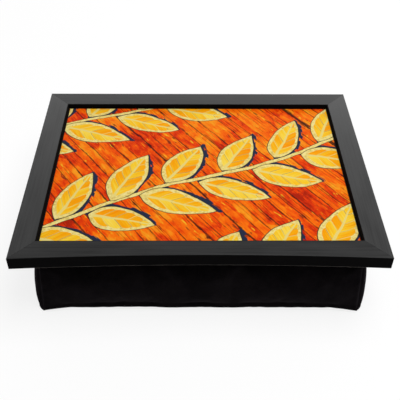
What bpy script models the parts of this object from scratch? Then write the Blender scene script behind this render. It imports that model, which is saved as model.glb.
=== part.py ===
"""A breakfast tray on a bead-filled lap cushion.

A mitred frame holds a printed panel, and touch tape holds the tray on the cushion.
Metres, +Z up. The origin is on the floor under the tray's centre, and the front is towards -Y.
"""

import math

import bmesh
import bpy
from mathutils import Vector

# Fits
CLEARANCE = 0.0003
CUT_OVERRUN = 0.001

# Tray frame: four mitred rails with a lip over the board and a rebate under the lip
TRAY_LENGTH = 0.430
TRAY_DEPTH = 0.330
RAIL_WIDTH = 0.0284
LIP_OVERHANG = 0.006
RECESS_DEPTH = 0.0061
ARRIS_RADIUS = 0.0006
FOOT_ARRIS_RADIUS = 0.0009
ARRIS_STEPS = 3
MITRE_GAP = 0.0003
FRAME_GAP = 0.0005
FRONT_BOW = 0.0057
BOW_SPANS = 24

# Panel: a printed sheet bonded on a fibreboard
PRINT_THICKNESS = 0.0009
PRINT_BORDER = 0.0015
BOARD_THICKNESS = 0.006
BOARD_EDGE_GAP = 0.0005
PANEL_CORNER_RADIUS = 0.0006

# V-nails: two angled steel strips driven up into each mitre
V_NAIL_LEG = 0.005
V_NAIL_SHEET = 0.0005
V_NAIL_HEIGHT = 0.007
V_NAIL_OUTER_COVER = 0.004
V_NAIL_INNER_COVER = 0.0035

# Framer's points: steel tabs driven into the rebate's wall under the board
POINT_LENGTH = 0.012
POINT_WIDTH = 0.0055
POINT_SHEET = 0.0005
POINT_GRIP = 0.0065
POINT_TIP = 0.0025
LONG_RAIL_POINT_SHARES = (-0.6, 0, 0.6)
SHORT_RAIL_POINT_SHARES = (-0.5, 0.5)

# Touch tape: hook strips under the board, loop strips on the cushion
TAPE_THICKNESS = 0.0018
TAPE_WIDTH = 0.020
LONG_TAPE_LENGTH = 0.200
SHORT_TAPE_LENGTH = 0.120
TAPE_MARGIN = 0.002
TAPE_CORNER_RADIUS = 0.002
CORNER_STEPS = 4

# Cushion: a sewn box of six panels that slumps wider at its foot, with a bag of beads inside
CUSHION_HEIGHT = 0.0822
SIDE_LEDGE = 0.026
FRONT_LEDGE = 0.021
SIDE_FLARE = 0.0035
FRONT_FLARE = 0.015
SIDE_BELLY = 0.0098
SIDE_BELLY_REACH = 0.012
FRONT_BELLY = 0.0093
FRONT_BELLY_REACH = 0.034
FOOT_DRAW = 0.0075
EAR_REACH = 0.040
EAR_LIFT = 0.0003
FOOT_LIFT = 0.0042
FOOT_REACH = 0.022
SHOULDER_DROP = 0.006
SHOULDER_REACH = 0.024
FLAT_CUT = 0.0005
FABRIC_THICKNESS = 0.001
SEAM_GAP = 0.0004
SWELL_RISE_SHARE = 0.45
SWELL_FULLNESS_SHARE = 0.55
HEIGHT_LINE_SHARES = (0, 0.04, 0.1, 0.18, 0.3, 0.46, 0.63, 0.79, 0.91, 1)
FINE_SPANS = 6
FINE_SPAN_GROWTH = 1.4
MIDDLE_SPANS = 3
SHARP_ANGLE = math.radians(50)

# Levels, from the floor up
BOARD_UNDERSIDE = CUSHION_HEIGHT + 2 * TAPE_THICKNESS + 3 * CLEARANCE
BOARD_TOP = BOARD_UNDERSIDE + BOARD_THICKNESS
PRINT_UNDERSIDE = BOARD_TOP + CLEARANCE
RAIL_TOP = PRINT_UNDERSIDE + PRINT_THICKNESS + RECESS_DEPTH
RAIL_UNDERSIDE = CUSHION_HEIGHT + FRAME_GAP
LIP_UNDERSIDE = BOARD_TOP + CLEARANCE

# Half sizes that several pieces share
STEM_WIDTH = RAIL_WIDTH - LIP_OVERHANG
OPENING_HALF_LENGTH = TRAY_LENGTH / 2 - RAIL_WIDTH
OPENING_HALF_DEPTH = TRAY_DEPTH / 2 - RAIL_WIDTH
CUSHION_HALF_LENGTH = TRAY_LENGTH / 2 - SIDE_LEDGE
CUSHION_HALF_DEPTH = TRAY_DEPTH / 2 - FRONT_LEDGE

# Each side of the frame: its angle about Z, how far its outer face lies from the middle, and its length
SIDES = {
    "front": (0, TRAY_DEPTH / 2, TRAY_LENGTH),
    "right": (math.pi / 2, TRAY_LENGTH / 2, TRAY_DEPTH),
    "back": (math.pi, TRAY_DEPTH / 2, TRAY_LENGTH),
    "left": (-math.pi / 2, TRAY_LENGTH / 2, TRAY_DEPTH),
}
LONG_SIDES = ("front", "back")
# Each mitre, named by the rails that meet there: its angle about Z, and its way along X and Y
CORNERS = {
    "back_right": (0, 1, 1),
    "back_left": (math.pi / 2, -1, 1),
    "front_left": (math.pi, -1, -1),
    "front_right": (-math.pi / 2, 1, -1),
}


def clear_scene():
    for obj in list(bpy.data.objects):
        bpy.data.objects.remove(obj)


def material(name, colour, roughness, metallic=0.0):
    made = bpy.data.materials.new(name)
    made.use_nodes = True
    shader = made.node_tree.nodes["Principled BSDF"]
    shader.inputs["Base Color"].default_value = (*colour, 1)
    shader.inputs["Roughness"].default_value = roughness
    shader.inputs["Metallic"].default_value = metallic
    made.diffuse_color = (*colour, 1)
    return made


def empty(name):
    made = bpy.data.objects.new(name, None)
    bpy.context.collection.objects.link(made)
    return made


def add_object(name, bm, look, parent, place=(0, 0, 0), turn=0):
    """Turns a bmesh into a named object with its faces pointing out, at a place and an angle about Z."""
    bmesh.ops.recalc_face_normals(bm, faces=bm.faces)
    mesh = bpy.data.meshes.new(name)
    bm.to_mesh(mesh)
    bm.free()
    made = bpy.data.objects.new(name, mesh)
    bpy.context.collection.objects.link(made)
    mesh.materials.append(look)
    made.parent = parent
    made.location = place
    made.rotation_euler = (0, 0, turn)
    return made


def prism(outline, low, high):
    """An upright solid on a closed outline of (x, y) points."""
    bm = bmesh.new()
    face = bm.faces.new([bm.verts.new((x, y, low)) for x, y in outline])
    risen = bmesh.ops.extrude_face_region(bm, geom=[face])["geom"]
    verts = [item for item in risen if isinstance(item, bmesh.types.BMVert)]
    bmesh.ops.translate(bm, verts=verts, vec=(0, 0, high - low))
    return bm


def arc(centre, radius, start, end, steps):
    """Points along an arc, with angles in quarter turns."""
    angles = [(start + (end - start) * i / steps) * math.pi / 2 for i in range(steps + 1)]
    return [(centre[0] + radius * math.cos(a), centre[1] + radius * math.sin(a)) for a in angles]


def rounded_rectangle(half_length, half_width, radius):
    outline = []
    for quarter, (x, y) in enumerate(((1, 1), (-1, 1), (-1, -1), (1, -1))):
        centre = (x * (half_length - radius), y * (half_width - radius))
        outline += arc(centre, radius, quarter, quarter + 1, CORNER_STEPS)
    return outline


def on_side(side, along, inset):
    """The (x, y) place that lies along a side of the frame, and in from the side's outer face."""
    angle, reach, _ = SIDES[side]
    x, y = along, inset - reach
    return x * math.cos(angle) - y * math.sin(angle), x * math.sin(angle) + y * math.cos(angle)


def use_cutter(target, cutter):
    cut = target.modifiers.new(cutter.name, "BOOLEAN")
    cut.operation = "DIFFERENCE"
    cut.solver = "EXACT"
    cut.object = cutter


def hide_cutter(cutter):
    cutter.hide_render = True
    cutter.display_type = "WIRE"
    return cutter


def rail_profile():
    """The rail's section as (inset from the outer face, height) points, from the stem's inner foot upwards."""
    low, high, arris, foot = RAIL_UNDERSIDE, RAIL_TOP, ARRIS_RADIUS, FOOT_ARRIS_RADIUS
    return [
        (STEM_WIDTH, low),
        (STEM_WIDTH, LIP_UNDERSIDE),
        (RAIL_WIDTH, LIP_UNDERSIDE),
        *arc((RAIL_WIDTH - arris, high - arris), arris, 0, 1, ARRIS_STEPS),
        *arc((arris, high - arris), arris, 1, 2, ARRIS_STEPS),
        *arc((foot, low + foot), foot, 2, 3, ARRIS_STEPS),
    ]


def make_rail(side, look, parent):
    """The section run along a side and mitred. The front rail's outer face bows in between its ends."""
    angle, _, length = SIDES[side]
    bow, spans = (FRONT_BOW, BOW_SPANS) if side == "front" else (0, 1)
    half_cut = length / 2 - MITRE_GAP / math.sqrt(2)
    bm = bmesh.new()
    rings = []
    for span in range(spans + 1):
        share = 2 * span / spans - 1
        bowed = bow * (1 - share**2)
        ring = []
        for inset, z in rail_profile():
            shift = bowed if inset < STEM_WIDTH / 2 else 0
            ring.append(bm.verts.new((share * (half_cut - inset), inset + shift, z)))
        rings.append(ring)
    bm.faces.new(rings[0])
    bm.faces.new(rings[-1])
    for near, far in zip(rings, rings[1:]):
        for i, vert in enumerate(near):
            bm.faces.new((near[i - 1], vert, far[i], far[i - 1]))
    return add_object(f"rail_{side}", bm, look, parent, (*on_side(side, 0, 0), 0), angle)


def angle_outline(leg, sheet):
    """A V-nail's plan: two legs at a right angle, with the fold's middle at the origin."""
    half = sheet / 2
    return [(-half, -half), (leg, -half), (leg, half), (half, half), (half, leg), (-half, leg)]


def make_v_nails(rails, look, parent):
    insets = (V_NAIL_OUTER_COVER + V_NAIL_LEG, STEM_WIDTH - V_NAIL_INNER_COVER)
    foot = RAIL_UNDERSIDE + CLEARANCE
    for corner, (turn, x_way, y_way) in CORNERS.items():
        for i, inset in enumerate(insets, 1):
            place = (x_way * (TRAY_LENGTH / 2 - inset), y_way * (TRAY_DEPTH / 2 - inset), 0)
            nail = prism(angle_outline(V_NAIL_LEG, V_NAIL_SHEET), foot, foot + V_NAIL_HEIGHT)
            add_object(f"v_nail_{corner}_{i}", nail, look, parent, place, turn)
            slot = prism(
                angle_outline(V_NAIL_LEG + CLEARANCE, V_NAIL_SHEET + 2 * CLEARANCE),
                RAIL_UNDERSIDE - CUT_OVERRUN,
                foot + V_NAIL_HEIGHT + CLEARANCE,
            )
            cutter = hide_cutter(add_object(f"slot_{corner}_{i}", slot, look, parent, place, turn))
            for side in corner.split("_"):
                use_cutter(rails[side], cutter)


def make_board_points(rails, look, parent):
    """Tabs that reach from the rebate's wall under the board's edge, each in its own slot."""
    top = BOARD_UNDERSIDE - CLEARANCE
    half = POINT_WIDTH / 2
    outline = [
        (-half, POINT_LENGTH - POINT_GRIP),
        (-half, POINT_TIP - POINT_GRIP),
        (0, -POINT_GRIP),
        (half, POINT_TIP - POINT_GRIP),
        (half, POINT_LENGTH - POINT_GRIP),
    ]
    slot_half = half + CLEARANCE
    slot_outline = [
        (-slot_half, CUT_OVERRUN),
        (-slot_half, -POINT_GRIP - CLEARANCE),
        (slot_half, -POINT_GRIP - CLEARANCE),
        (slot_half, CUT_OVERRUN),
    ]
    for side, rail in rails.items():
        turn, _, _ = SIDES[side]
        is_long = side in LONG_SIDES
        shares = LONG_RAIL_POINT_SHARES if is_long else SHORT_RAIL_POINT_SHARES
        half_opening = OPENING_HALF_LENGTH if is_long else OPENING_HALF_DEPTH
        for i, share in enumerate(shares, 1):
            place = (*on_side(side, share * half_opening, STEM_WIDTH), 0)
            tab = prism(outline, top - POINT_SHEET, top)
            add_object(f"board_point_{side}_{i}", tab, look, parent, place, turn)
            slot = prism(slot_outline, top - POINT_SHEET - CLEARANCE, top + CLEARANCE)
            cutter = hide_cutter(add_object(f"point_slot_{side}_{i}", slot, look, parent, place, turn))
            use_cutter(rail, cutter)


def make_panel(board_look, print_look, parent):
    board_reach = LIP_OVERHANG - BOARD_EDGE_GAP
    outline = rounded_rectangle(
        OPENING_HALF_LENGTH + board_reach, OPENING_HALF_DEPTH + board_reach, PANEL_CORNER_RADIUS
    )
    add_object("tray_board", prism(outline, BOARD_UNDERSIDE, BOARD_TOP), board_look, parent)
    outline = rounded_rectangle(
        OPENING_HALF_LENGTH - PRINT_BORDER, OPENING_HALF_DEPTH - PRINT_BORDER, PANEL_CORNER_RADIUS
    )
    sheet = prism(outline, PRINT_UNDERSIDE, PRINT_UNDERSIDE + PRINT_THICKNESS)
    add_object("print_sheet", sheet, print_look, parent)


def make_tapes(hook_look, loop_look, tray, cushion):
    """A hook strip and a loop strip for each side, over the flat part of the cushion's top."""
    inset = SHOULDER_REACH + TAPE_MARGIN + TAPE_WIDTH / 2
    for side, (turn, _, _) in SIDES.items():
        is_long = side in LONG_SIDES
        half_length = (LONG_TAPE_LENGTH if is_long else SHORT_TAPE_LENGTH) / 2
        ledge = FRONT_LEDGE if is_long else SIDE_LEDGE
        outline = rounded_rectangle(half_length, TAPE_WIDTH / 2, TAPE_CORNER_RADIUS)
        place = (*on_side(side, 0, ledge + inset), 0)
        foot = CUSHION_HEIGHT + CLEARANCE
        loop = prism(outline, foot, foot + TAPE_THICKNESS)
        add_object(f"loop_tape_{side}", loop, loop_look, cushion, place, turn)
        foot += TAPE_THICKNESS + CLEARANCE
        hook = prism(outline, foot, foot + TAPE_THICKNESS)
        add_object(f"hook_tape_{side}", hook, hook_look, tray, place, turn)


def nearness(distance, reach):
    """1 at an edge, falling smoothly to 0 at a distance of reach from it."""
    return max(0, 1 - distance / reach) ** 2


def cushion_point(u, v, t):
    """A point on the cushion's surface, from shares of its half length, half depth and height."""
    half_length = CUSHION_HALF_LENGTH + SIDE_FLARE * (1 - t)
    half_depth = CUSHION_HALF_DEPTH + FRONT_FLARE * (1 - t)
    from_side = half_length * (1 - abs(u))
    from_front = half_depth * (1 - abs(v))
    swell = max(0, math.sin(math.pi * t**SWELL_RISE_SHARE)) ** SWELL_FULLNESS_SHARE
    draw = FOOT_DRAW * (1 - t) ** 2
    x = half_length + SIDE_BELLY * swell * (1 - nearness(from_front, SIDE_BELLY_REACH))
    x -= draw * (1 - nearness(from_front, EAR_REACH))
    y = half_depth + FRONT_BELLY * swell * (1 - nearness(from_side, FRONT_BELLY_REACH))
    y -= draw * (1 - nearness(from_side, EAR_REACH))

    side_foot = nearness(from_side, FOOT_REACH)
    front_foot = nearness(from_front, FOOT_REACH)
    lift_share = side_foot * (1 - nearness(from_front, EAR_REACH))
    lift_share += front_foot * (1 - nearness(from_side, EAR_REACH))
    edge_share = max(side_foot, front_foot)
    low = EAR_LIFT * edge_share + FOOT_LIFT * lift_share - FLAT_CUT * (1 - edge_share)
    side_drop = nearness(from_side, SHOULDER_REACH)
    front_drop = nearness(from_front, SHOULDER_REACH)
    high = CUSHION_HEIGHT - SHOULDER_DROP * (side_drop + front_drop - side_drop * front_drop)
    return Vector((u * x, v * y, low + (high - low) * t))


def edge_lines(half, reach):
    """Grid lines from -1 to 1, as shares of a half size, close together near the edges."""
    fine = [1 - reach / half * (i / FINE_SPANS) ** FINE_SPAN_GROWTH for i in range(FINE_SPANS + 1)]
    middle = [fine[-1] * (1 - 2 * i / MIDDLE_SPANS) for i in range(1, MIDDLE_SPANS)]
    return [-share for share in fine] + [-share for share in middle] + fine[::-1]


def lattice_sides(counts):
    """Each side of a box lattice as rows of (i, j, k) places, named by the panel that it becomes."""
    ni, nj, nk = counts
    return {
        "left": [[(0, j, k) for j in range(nj)] for k in range(nk)],
        "right": [[(ni - 1, j, k) for j in range(nj)] for k in range(nk)],
        "front": [[(i, 0, k) for i in range(ni)] for k in range(nk)],
        "back": [[(i, nj - 1, k) for i in range(ni)] for k in range(nk)],
        "bottom": [[(i, j, 0) for i in range(ni)] for j in range(nj)],
        "top": [[(i, j, nk - 1) for i in range(ni)] for j in range(nj)],
    }


def add_patch(bm, rows, verts):
    """Two triangles for each cell of a side's rows."""
    for low, high in zip(rows, rows[1:]):
        for a, b, c, d in zip(low, low[1:], high[1:], high):
            bm.faces.new((verts[a], verts[b], verts[c]))
            bm.faces.new((verts[a], verts[c], verts[d]))


def closed_form(points, sides):
    bm = bmesh.new()
    verts = {key: bm.verts.new(point) for key, point in points.items()}
    for rows in sides.values():
        add_patch(bm, rows, verts)
    bmesh.ops.recalc_face_normals(bm, faces=bm.faces)
    return bm, verts


def offset_directions(points, sides):
    """For each lattice place, the way out, long enough that a step of 1 clears each face there by 1."""
    bm, verts = closed_form(points, sides)
    bm.normal_update()
    ways = {key: vert.normal * vert.calc_shell_factor() for key, vert in verts.items()}
    bm.free()
    return ways


def trimmed(rows, points):
    """A side's points, with those on its seams drawn back from the seam by half its gap."""
    places = {key: points[key].copy() for row in rows for key in row}
    for lines in (rows, [list(column) for column in zip(*rows)]):
        for edge, inner in ((lines[0], lines[1]), (lines[-1], lines[-2])):
            for key, neighbour in zip(edge, inner):
                way = (points[neighbour] - points[key]).normalized()
                places[key] += way * SEAM_GAP / 2
    return places


def border_of(rows):
    """The places round a side's rim, in order."""
    last_column = [row[-1] for row in rows[1:-1]]
    first_column = [row[0] for row in rows[1:-1]]
    return rows[0] + last_column + rows[-1][::-1] + first_column[::-1]


def make_cover_panel(name, rows, points, ways, look, parent):
    """One sewn panel: a side's surface, cut flat at the floor, and the same a fabric's thickness further in."""
    outer_places = trimmed(rows, points)
    bm = bmesh.new()
    outer, inner = {}, {}
    for key, place in outer_places.items():
        inner[key] = bm.verts.new(place - ways[key] * FABRIC_THICKNESS)
        outer[key] = bm.verts.new((place.x, place.y, max(0, place.z)))
    add_patch(bm, rows, outer)
    add_patch(bm, rows, inner)
    rim = border_of(rows)
    for a, b in zip(rim, rim[1:] + rim[:1]):
        bm.faces.new((outer[a], outer[b], inner[b]))
        bm.faces.new((outer[a], inner[b], inner[a]))
    panel = add_object(name, bm, look, parent)
    panel.data.shade_smooth()
    panel.data.set_sharp_from_angle(angle=SHARP_ANGLE)


def make_cushion(cover_look, bag_look, parent):
    lines = (
        edge_lines(CUSHION_HALF_LENGTH, EAR_REACH),
        edge_lines(CUSHION_HALF_DEPTH, EAR_REACH),
        HEIGHT_LINE_SHARES,
    )
    sides = lattice_sides([len(line) for line in lines])
    keys = {key for rows in sides.values() for row in rows for key in row}
    points = {key: cushion_point(*(line[n] for line, n in zip(lines, key))) for key in sorted(keys)}
    ways = offset_directions(points, sides)
    for side, rows in sides.items():
        make_cover_panel(f"cover_{side}", rows, points, ways, cover_look, parent)
    inset = FABRIC_THICKNESS + CLEARANCE
    bag, _ = closed_form({key: point - ways[key] * inset for key, point in points.items()}, sides)
    add_object("bead_bag", bag, bag_look, parent).data.shade_smooth()


def main():
    clear_scene()
    black_foil = material("black_foil", (0.012, 0.012, 0.012), 0.42)
    steel = material("steel", (0.55, 0.56, 0.57), 0.38, 1.0)
    board_black = material("board_black", (0.012, 0.012, 0.012), 0.7)
    print_orange = material("print_orange", (0.75, 0.23, 0.03), 0.35)
    hook_nylon = material("hook_nylon", (0.010, 0.010, 0.011), 0.6)
    loop_nylon = material("loop_nylon", (0.014, 0.014, 0.015), 0.95)
    velvet = material("velvet", (0.008, 0.006, 0.008), 0.95)
    bag_white = material("bag_white", (0.70, 0.70, 0.68), 0.9)

    # The tray lifts off the cushion straight up, along the Z axis through the origin.
    tray = empty("tray")
    cushion = empty("cushion")
    rails = {side: make_rail(side, black_foil, tray) for side in SIDES}
    make_v_nails(rails, steel, tray)
    make_board_points(rails, steel, tray)
    make_panel(board_black, print_orange, tray)
    make_tapes(hook_nylon, loop_nylon, tray, cushion)
    make_cushion(velvet, bag_white, cushion)


main()
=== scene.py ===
"""The looks of a breakfast tray on its bead cushion: finishes, the sewn cushion, studio light and camera."""

import itertools
import math

import bmesh
import bpy
import numpy as np
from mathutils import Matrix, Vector, noise


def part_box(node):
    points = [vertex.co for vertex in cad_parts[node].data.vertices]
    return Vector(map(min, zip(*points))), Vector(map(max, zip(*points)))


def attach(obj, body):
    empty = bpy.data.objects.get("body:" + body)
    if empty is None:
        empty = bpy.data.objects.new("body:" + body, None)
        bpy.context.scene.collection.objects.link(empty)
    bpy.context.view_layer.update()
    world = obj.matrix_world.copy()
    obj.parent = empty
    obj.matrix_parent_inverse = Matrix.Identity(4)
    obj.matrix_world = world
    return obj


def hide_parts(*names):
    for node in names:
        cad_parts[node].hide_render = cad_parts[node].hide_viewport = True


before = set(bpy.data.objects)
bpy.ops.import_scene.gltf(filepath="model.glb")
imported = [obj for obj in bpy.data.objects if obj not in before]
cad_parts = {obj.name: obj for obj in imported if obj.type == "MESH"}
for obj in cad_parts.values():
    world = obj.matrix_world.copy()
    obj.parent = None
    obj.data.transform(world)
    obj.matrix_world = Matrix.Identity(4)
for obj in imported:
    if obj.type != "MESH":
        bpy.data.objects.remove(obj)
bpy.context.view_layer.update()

# Sizes and places that the frame gives
HALF_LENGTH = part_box("rail_right")[1].x
HALF_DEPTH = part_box("rail_back")[1].y
RAIL_FOOT, RAIL_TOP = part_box("rail_front")[0].z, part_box("rail_front")[1].z
RAIL_WIDTH = HALF_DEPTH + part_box("rail_front")[1].y
LIP_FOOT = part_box("print_sheet")[0].z
CUSHION_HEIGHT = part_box("cover_top")[1].z

# Frame rails
LIP_OVERHANG = 0.006
FRONT_BOW = 0.0057
BOW_SPANS = 32
ARRIS_RADIUS = 0.0006
LIP_RADIUS = 0.0011
FOOT_ARRIS_RADIUS = 0.0009
ARRIS_STEPS = 6
MITRE_SETBACK = 0.0001
EDGE_NORMAL_LIMIT = 0.2
UNDER_NORMAL_LIMIT = -0.95
SHARP_ANGLE = math.radians(40)
# The side rails' foil is a glossier copy of the long rails', painted light that makes them show brighter
LONG_RAIL_GLOSS = 0.2
SIDE_RAIL_GLOSS = 0.32

# Foil on the rails: how often its marks repeat in a metre along, across and up, their shares and height
FINE_GRAIN = (9, 900, 900)
BROAD_GRAIN = (11, 430, 430)
FOIL_CLOUDS = (14, 40, 40)
EDGE_CLOUDS = (30, 90, 90)
EDGE_PORES = (200, 700, 700)
FOOT_WEAR_AND_REFLECTION = (35, 300, 300)
FINE_GRAIN_SHARE = 0.25
BROAD_GRAIN_SHARE = 0.45
CLOUD_SHARE = 0.3
FOIL_RELIEF = 0.00004
PORE_RELIEF = 0.00005

# Board, steel and velvet: how often their marks repeat in a metre, their shares and height
FIBRE_STRETCH = (1, 1.7, 1)
RAIL_FIBRES = 500
BOARD_FIBRES = 700
FIBRE_RELIEF = 0.00012
STEEL_STREAKS = (300, 300, 2500)
VELVET_PATCHES = 34
VELVET_NAP = 210
VELVET_PILE = 1900
PATCH_SHARE = 0.7
NAP_SHARE = 0.3
NAP_RELIEF = 0.0005
PILE_RELIEF = 0.00022

# Cushion: half sizes at the top seam, and how the sides flare, belly and draw in at the foot
TOP_HALF_LENGTH = 0.189
TOP_HALF_DEPTH = 0.144
SIDE_FLARE = 0.001
FRONT_FLARE = 0.015
SIDE_BELLY = 0.0128
SIDE_BELLY_REACH = 0.012
FRONT_BELLY = 0.0093
FRONT_BELLY_REACH = 0.034
FOOT_DRAW = 0.0075
EAR_REACH = 0.040
EAR_LIFT = 0.0003
FOOT_LIFT = 0.0042
FOOT_REACH = 0.022
SHOULDER_DROP = 0.003
SHOULDER_REACH = 0.024
FLAT_CUT = 0.0005
SWELL_RISE_SHARE = 0.45
SWELL_FULLNESS_SHARE = 0.55

# Cushion fabric: grid lines, seam groove, gathers along the seams and soft dents
SEAM_LINES = (0, 0.0007, 0.0016, 0.003, 0.005, 0.0078)
GRID_STEP = 0.0036
SEAM_GROOVE = 0.0009
SEAM_GROOVE_REACH = 0.0013
SEAM_ROLL = 0.0006
SEAM_ROLL_PLACE = 0.0036
SEAM_ROLL_REACH = 0.0022
GATHER_HEIGHT = 0.0003
GATHER_REACH = 0.012
GATHER_SCALE = 120
DENT_HEIGHT = 0.0008
DENT_SCALE = 17
REST_FADE = 0.010
LEVEL_TOLERANCE = 1e-6

# Cushion swelling: a slack coarse copy is blown up as cloth, and its shift is carried to the fine one
SLACK = 0.003
COARSE_STEP = 0.0065
HELD_TOP_INSET = 0.012
PRESSURE = 4
CLOTH_STIFFNESS = 15
CLOTH_SHEAR = 5
CLOTH_BENDING = 0.5
CLOTH_MASS = 0.2
CLOTH_DAMPING = 3
CLOTH_QUALITY = 6
PANEL_GROWTH_SHARE = 0.008
CLOTH_FRAMES = 20
MOST_SHIFT = 0.008
LEAST_REACH = 1e-9

# Cushion lie: as photographed, it is fixed a little to the right and not quite square to the frame
CUSHION_TURN = math.radians(-0.35)
CUSHION_SHIFT = (0.0018, -0.0009)

# Camera, fitted to the photograph's corners of the frame
CAMERA_PLACE = (-0.0127, -0.6651, 0.6399)
CAMERA_TURN_DEGREES = (47.86, -0.605, -0.68)
FOCAL_PIXELS = 662.8
PHOTO_PIXELS = 400
SENSOR_WIDTH_MM = 36

# Stage and light; a softbox has a name, a place, a point that it faces, two sides and a power in watts
FLOOR_HALF = 6.0
WHITE = (1, 1, 1, 1)
HORIZON_LIGHT = 0.06
ZENITH_LIGHT = 0.36
FLOOR_BOUNCE = 0.8
FLOOR_SHADOW_SHARE = 0.22
FLOOR_GLOW = 0.82
FLOOR_FADE_START = 0.7
FLOOR_FADE_END = 2.6
SOFTBOXES = (
    ("top_softbox", (0.5, -0.1, 1.9), (0, 0, 0), (1.6, 1.2), 24),
    ("back_softbox", (0.5, 2.4, 1.1), (0, 0, 0.1), (4.6, 0.7), 24),
)


def srgb(red, green, blue):
    """A linear colour with alpha from 0 to 255 display values."""
    shares = [value / 255 for value in (red, green, blue)]
    return (*[s / 12.92 if s <= 0.04045 else ((s + 0.055) / 1.055) ** 2.4 for s in shares], 1)


class Nodes:
    """A node tree built from short calls, most of which return an output socket."""

    def __init__(self, tree):
        self.tree = tree

    def add(self, kind, inputs=None, **settings):
        node = self.tree.nodes.new(kind)
        for key, value in settings.items():
            setattr(node, key, value)
        for key, value in (inputs or {}).items():
            self.put(node.inputs[key], value)
        return node

    def put(self, socket, value):
        if isinstance(value, bpy.types.NodeSocket):
            self.tree.links.new(value, socket)
        else:
            socket.default_value = value

    def math(self, operation, first, second=0.0, third=0.0):
        return self.add("ShaderNodeMath", {0: first, 1: second, 2: third}, operation=operation).outputs[0]

    def total(self, *weighted):
        """The sum of values, each times its share."""
        total = 0.0
        for value, share in weighted:
            total = self.math("MULTIPLY_ADD", value, share, total)
        return total

    def vector(self, operation, first, second=(0, 0, 0)):
        node = self.add("ShaderNodeVectorMath", {0: first, 1: second}, operation=operation)
        return node.outputs["Value" if operation == "LENGTH" else "Vector"]

    def parts(self, vector):
        return self.add("ShaderNodeSeparateXYZ", {0: vector}).outputs[:3]

    def ranged(self, value, low, high, start=0.0, end=1.0, kind="LINEAR"):
        """A value carried from one range to another, and held within it."""
        inputs = {"Value": value, "From Min": low, "From Max": high, "To Min": start, "To Max": end}
        return self.add("ShaderNodeMapRange", inputs, interpolation_type=kind).outputs[0]

    def smooth(self, value, low, high, start=0.0, end=1.0):
        return self.ranged(value, low, high, start, end, "SMOOTHSTEP")

    def seen_share(self):
        """1 for the camera's, mirrored and refracted rays, and 0 for light that falls on the object."""
        path = self.add("ShaderNodeLightPath").outputs
        share = self.math("MAXIMUM", path["Is Camera Ray"], path["Is Glossy Ray"])
        return self.math("MAXIMUM", share, path["Is Transmission Ray"])


class Paint(Nodes):
    """A material round one Principled shader, in the coordinates of the object that wears it."""

    def __init__(self, name):
        self.material = bpy.data.materials.new(name)
        self.material.use_nodes = True
        super().__init__(self.material.node_tree)
        self.shader = self.tree.nodes["Principled BSDF"]
        self.place = self.add("ShaderNodeTexCoord").outputs["Object"]

    def set(self, **values):
        """Puts values on the shader's own sockets; an underscore in a name stands for a space."""
        for key, value in values.items():
            self.put(self.shader.inputs[key.replace("_", " ")], value)

    def scaled(self, vector, share):
        return self.add("ShaderNodeVectorMath", {0: vector, "Scale": share}, operation="SCALE").outputs[0]

    def mapped(self, where, scale=(1, 1, 1), turn=0.0, shift=(0, 0, 0)):
        """A place that is turned about Z, then scaled, then shifted."""
        turned = self.add("ShaderNodeVectorRotate", {"Vector": where, "Angle": turn}, rotation_type="Z_AXIS")
        scaled = self.vector("MULTIPLY", turned.outputs[0], scale)
        return self.vector("ADD", scaled, shift)

    def joined(self, x, y, z=0.0):
        return self.add("ShaderNodeCombineXYZ", {0: x, 1: y, 2: z}).outputs[0]

    def stretched(self, along, across, scales, third=0.0):
        """A place in a pattern that has one scale along and another across."""
        first = self.math("MULTIPLY", along, scales[0])
        second = self.math("MULTIPLY", across, scales[1])
        return self.joined(first, second, third)

    def noise(self, where, scale, detail=2.0, roughness=0.5, colour=False):
        inputs = {"Vector": where, "Scale": scale, "Detail": detail, "Roughness": roughness}
        return self.add("ShaderNodeTexNoise", inputs).outputs["Color" if colour else "Fac"]

    def drawn_out(self, scale, detail=2.0, roughness=0.5):
        """Noise with a scale for each axis."""
        return self.noise(self.mapped(self.place, scale), 1, detail, roughness)

    def patches(self, where, scale, output="Distance", randomness=1.0):
        inputs = {"Vector": where, "Scale": scale, "Randomness": randomness}
        return self.add("ShaderNodeTexVoronoi", inputs).outputs[output]

    def cell(self, value, size):
        """The number of the cell that a value falls in."""
        return self.math("FLOOR", self.math("DIVIDE", value, size))

    def chance(self, x, y, z):
        """A random share of its own for each triple of whole numbers."""
        return self.add("ShaderNodeTexWhiteNoise", {"Vector": self.joined(x, y, z)}).outputs["Value"]

    def within(self, distance, reach, blur, most=1.0):
        """A mark's share: full up to its reach, and gone a blur beyond it."""
        return self.smooth(distance, reach, self.math("ADD", reach, blur), most, 0)

    def mix(self, share, first, second):
        node = self.add("ShaderNodeMix", data_type="RGBA")
        self.put(node.inputs["Factor"], share)
        self.put(node.inputs[6], first)
        self.put(node.inputs[7], second)
        return node.outputs[2]

    def ramp(self, value, stops):
        node = self.add("ShaderNodeValToRGB", {0: value})
        elements = node.color_ramp.elements
        while len(elements) < len(stops):
            elements.new(1)
        for element, (position, colour) in zip(elements, stops):
            element.position = position
            element.color = colour
        return node.outputs["Color"]

    def bump(self, height, distance, strength=1.0):
        """Adds a bump, on top of one that is there already."""
        node = self.add("ShaderNodeBump", {"Height": height, "Distance": distance, "Strength": strength})
        normal = self.shader.inputs["Normal"]
        if normal.is_linked:
            self.put(node.inputs["Normal"], normal.links[0].from_socket)
        self.put(normal, node.outputs[0])


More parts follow.
